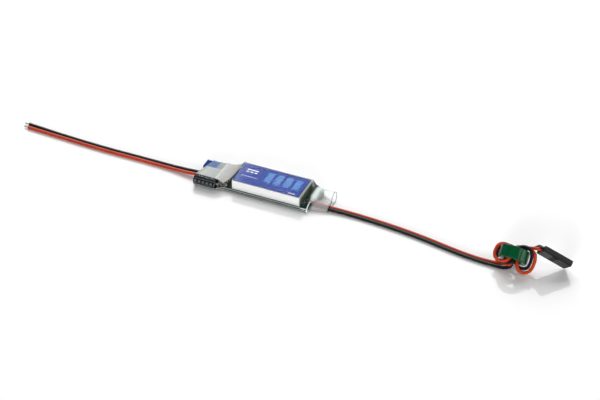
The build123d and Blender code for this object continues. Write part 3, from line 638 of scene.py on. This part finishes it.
def smooth_outline(corners):
    """A closed outline whose corners are rounded off, with the same count of points each."""
    outline = []
    count = len(corners)
    for n in range(count):
        before, here, after = (Vector(corners[(n + k) % count]) for k in (-1, 0, 1))
        entry, leave = (
            here + side.normalized() * min(corner_radius, side.length * side_share)
            for side in (before - here, after - here))
        for corner_point in range(corner_points):
            t = corner_point / (corner_points - 1)
            outline.append(entry * (1 - t) ** 2 + here * 2 * t * (1 - t) + leave * t ** 2)
    return outline


around_capacitor = [(-10.02, 5.4), (-11.6, 3.82), (-11.6, 1.58)]
around_shield = [
    (-8.8, 0), (8.8, 0), (8.8, 1.8), (7.8, 6.1), (7.5, 6.4), (0, 6.42), (-7.5, 6.4),
    (-7.8, 6.1), (-8.8, 1.8)]
left_mouth = [(-10.02, 0), (4.0, 0), (4.9, 1.2), (4.9, 4.5), (4.4, 5.0), (-8.0, 5.4)]
# outlines across the sleeve as (y, z), each at its x
film_stations = [
    (-34.6, left_mouth + around_capacitor),
    (-25.3, left_mouth + around_capacitor),
    (-24.2, [(-10.02, 0), (5.4, 0), (6.3, 1.4), (5.1, 4.4), (4.5, 4.9), (-8.0, 5.3)]
     + around_capacitor),
    (-22.4, [(-10.02, 0), (7.6, 0), (8.2, 1.7), (5.7, 4.8), (4.7, 5.3), (-8.0, 5.4)]
     + around_capacitor),
    (-21.8, [(-10.02, 0), (8.8, 0), (8.8, 1.8), (5.4, 4.5), (4.5, 5.0), (-8.0, 5.4)]
     + around_capacitor),
    (-18.9, [(-8.8, 0), (8.8, 0), (8.8, 1.8), (5.6, 4.9), (4.4, 5.3), (-5.5, 4.3), (-7.9, 3.9),
             (-8.7, 3.1), (-8.8, 1.8)]),
    (-16.7, [(-8.8, 0), (8.8, 0), (8.8, 1.8), (6.4, 5.3), (5.2, 5.7), (-1.0, 5.1), (-7.0, 4.7),
             (-7.8, 3.7), (-8.8, 1.8)]),
    (-15.4, around_shield),
    (18.1, around_shield),
    (19.5, [(-8.8, 0), (8.8, 0), (8.8, 1.8), (7.6, 4.3), (5.4, 5.1), (-0.6, 4.8), (-6.7, 4.1),
            (-8.2, 3.0), (-8.8, 1.8)]),
    (21.8, [(-8.8, 0), (8.8, 0), (8.8, 1.8), (7.2, 3.4), (4.2, 4.5), (-0.6, 4.0), (-6.4, 3.3),
            (-8.0, 2.5), (-8.8, 1.8)]),
    (24.0, [(-6.0, 0), (7.0, 0), (7.7, 1.6), (6.8, 3.4), (4.2, 4.9), (0.2, 4.1), (-3.2, 3.3),
            (-5.7, 3.0), (-6.3, 1.3)]),
    (30.5, [(-4.5, 0), (3.9, 0), (5.4, 1.8), (5.1, 4.6), (3.2, 6.3), (0.6, 5.4), (-0.9, 2.48),
            (-4.4, 2.18), (-4.8, 1.09)]),
]
# the input end is cut off at a slant
cut_x, cut_y, cut_slope = -33.1, -11.6, math.tan(math.radians(13.0))


def film_ring(x, corners, inset):
    """One ring of film points at x, moved inwards by inset."""
    outline = smooth_outline(corners)
    count = len(outline)
    ring = []
    for n, (y, z) in enumerate(outline):
        tangent = (outline[(n + 1) % count] - outline[n - 1]).normalized()
        y, z = y - tangent.y * inset, z + tangent.x * inset
        ring.append((max(x, cut_x + cut_slope * (y - cut_y)), y, z))
    return ring


def mix_corners(first, second, share):
    """Corners part of the way from the first ring's to the second's."""
    return [(a[0] + (b[0] - a[0]) * share, a[1] + (b[1] - a[1]) * share)
            for a, b in zip(first, second)]


film_rings = []
for (x0, first), (x1, second) in zip(film_stations, film_stations[1:]):
    steps = straight_steps if first == second else max(2, round((x1 - x0) / ring_spacing))
    for n in range(steps):
        share = n / steps
        film_rings.append((x0 + (x1 - x0) * share, mix_corners(first, second, share)))
film_rings.append(film_stations[-1])
film_rings = [r for r in film_rings if r[0] >= cut_x - ring_spacing]
outer = [film_ring(x, corners, 0.0) for x, corners in film_rings]
inner = [film_ring(x, corners, film_wall) for x, corners in film_rings]
around, ring_count = len(outer[0]), len(outer)
faces = ring_faces(0, ring_count, around)
faces += [face[::-1] for face in ring_faces(ring_count, ring_count, around)]
for ring in (0, ring_count - 1):
    for n in range(around):
        a, b = ring * around + n, ring * around + (n + 1) % around
        c, d = a + ring_count * around, b + ring_count * around
        faces.append((a, c, d, b) if ring == 0 else (a, b, d, c))
sleeve = new_mesh("shrunk_sleeve", [v for ring in outer + inner for v in ring], faces, clear_film)
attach(sleeve, "module")
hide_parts("heat_shrink_sleeve")

# ------------------------------------------------------------------ floor, light and world
# The floor glows faintly to what looks at it, so that it stays white, but lights nothing.
floor_reach, floor_glow, sky_strength = 3000, 0.04, 0.11
white = (1, 1, 1, 1)
floor_material, tree, shader = start_material(
    "studio_floor", Base_Color=srgb("#F0F0F0"), Roughness=0.06, Emission_Color=white)
rays = add(tree, "ShaderNodeLightPath", {}, {}).outputs
looking = largest(tree, *(rays[kind] for kind in (
    "Is Camera Ray", "Is Glossy Ray", "Is Transmission Ray")))
tree.links.new(product(tree, looking, floor_glow), shader.inputs["Emission Strength"])
floor = new_mesh("studio_floor", [
    (x * floor_reach, y * floor_reach, 0) for x, y in ((-1, -1), (1, -1), (1, 1), (-1, 1))
], [(0, 1, 2, 3)], floor_material)

world = bpy.data.worlds.new("studio")
bpy.context.scene.world = world
world.use_nodes = True
sky = world.node_tree.nodes["Background"]
sky.inputs["Color"].default_value = white
sky.inputs["Strength"].default_value = sky_strength


def lamp(name, place_at, aim, size, power, glossy=True):
    """A square soft lamp, size in millimetres and power in watts."""
    light = bpy.data.lights.new(name, "AREA")
    light.size = mm(size)
    light.energy = power
    made = bpy.data.objects.new(name, light)
    made.location = point(place_at)
    made.rotation_mode = "QUATERNION"
    made.rotation_quaternion = (point(aim) - point(place_at)).to_track_quat("-Z", "Y")
    made.visible_glossy = glossy
    bpy.context.collection.objects.link(made)


lamp("back_softbox", (-290, 650, 620), (0, 0, 0), 1000, 11.2)
lamp("front_fill", (200, -850, 190), (0, 0, 0), 300, 6.3, glossy=False)
lamp("side_strip", (640, 60, 130), (118, -8, 6), 240, 0.45)
lamp("right_softbox", (690, -80, 530), (134, -3, 7), 300, 0.8)

bpy.context.scene.view_settings.view_transform = "Standard"
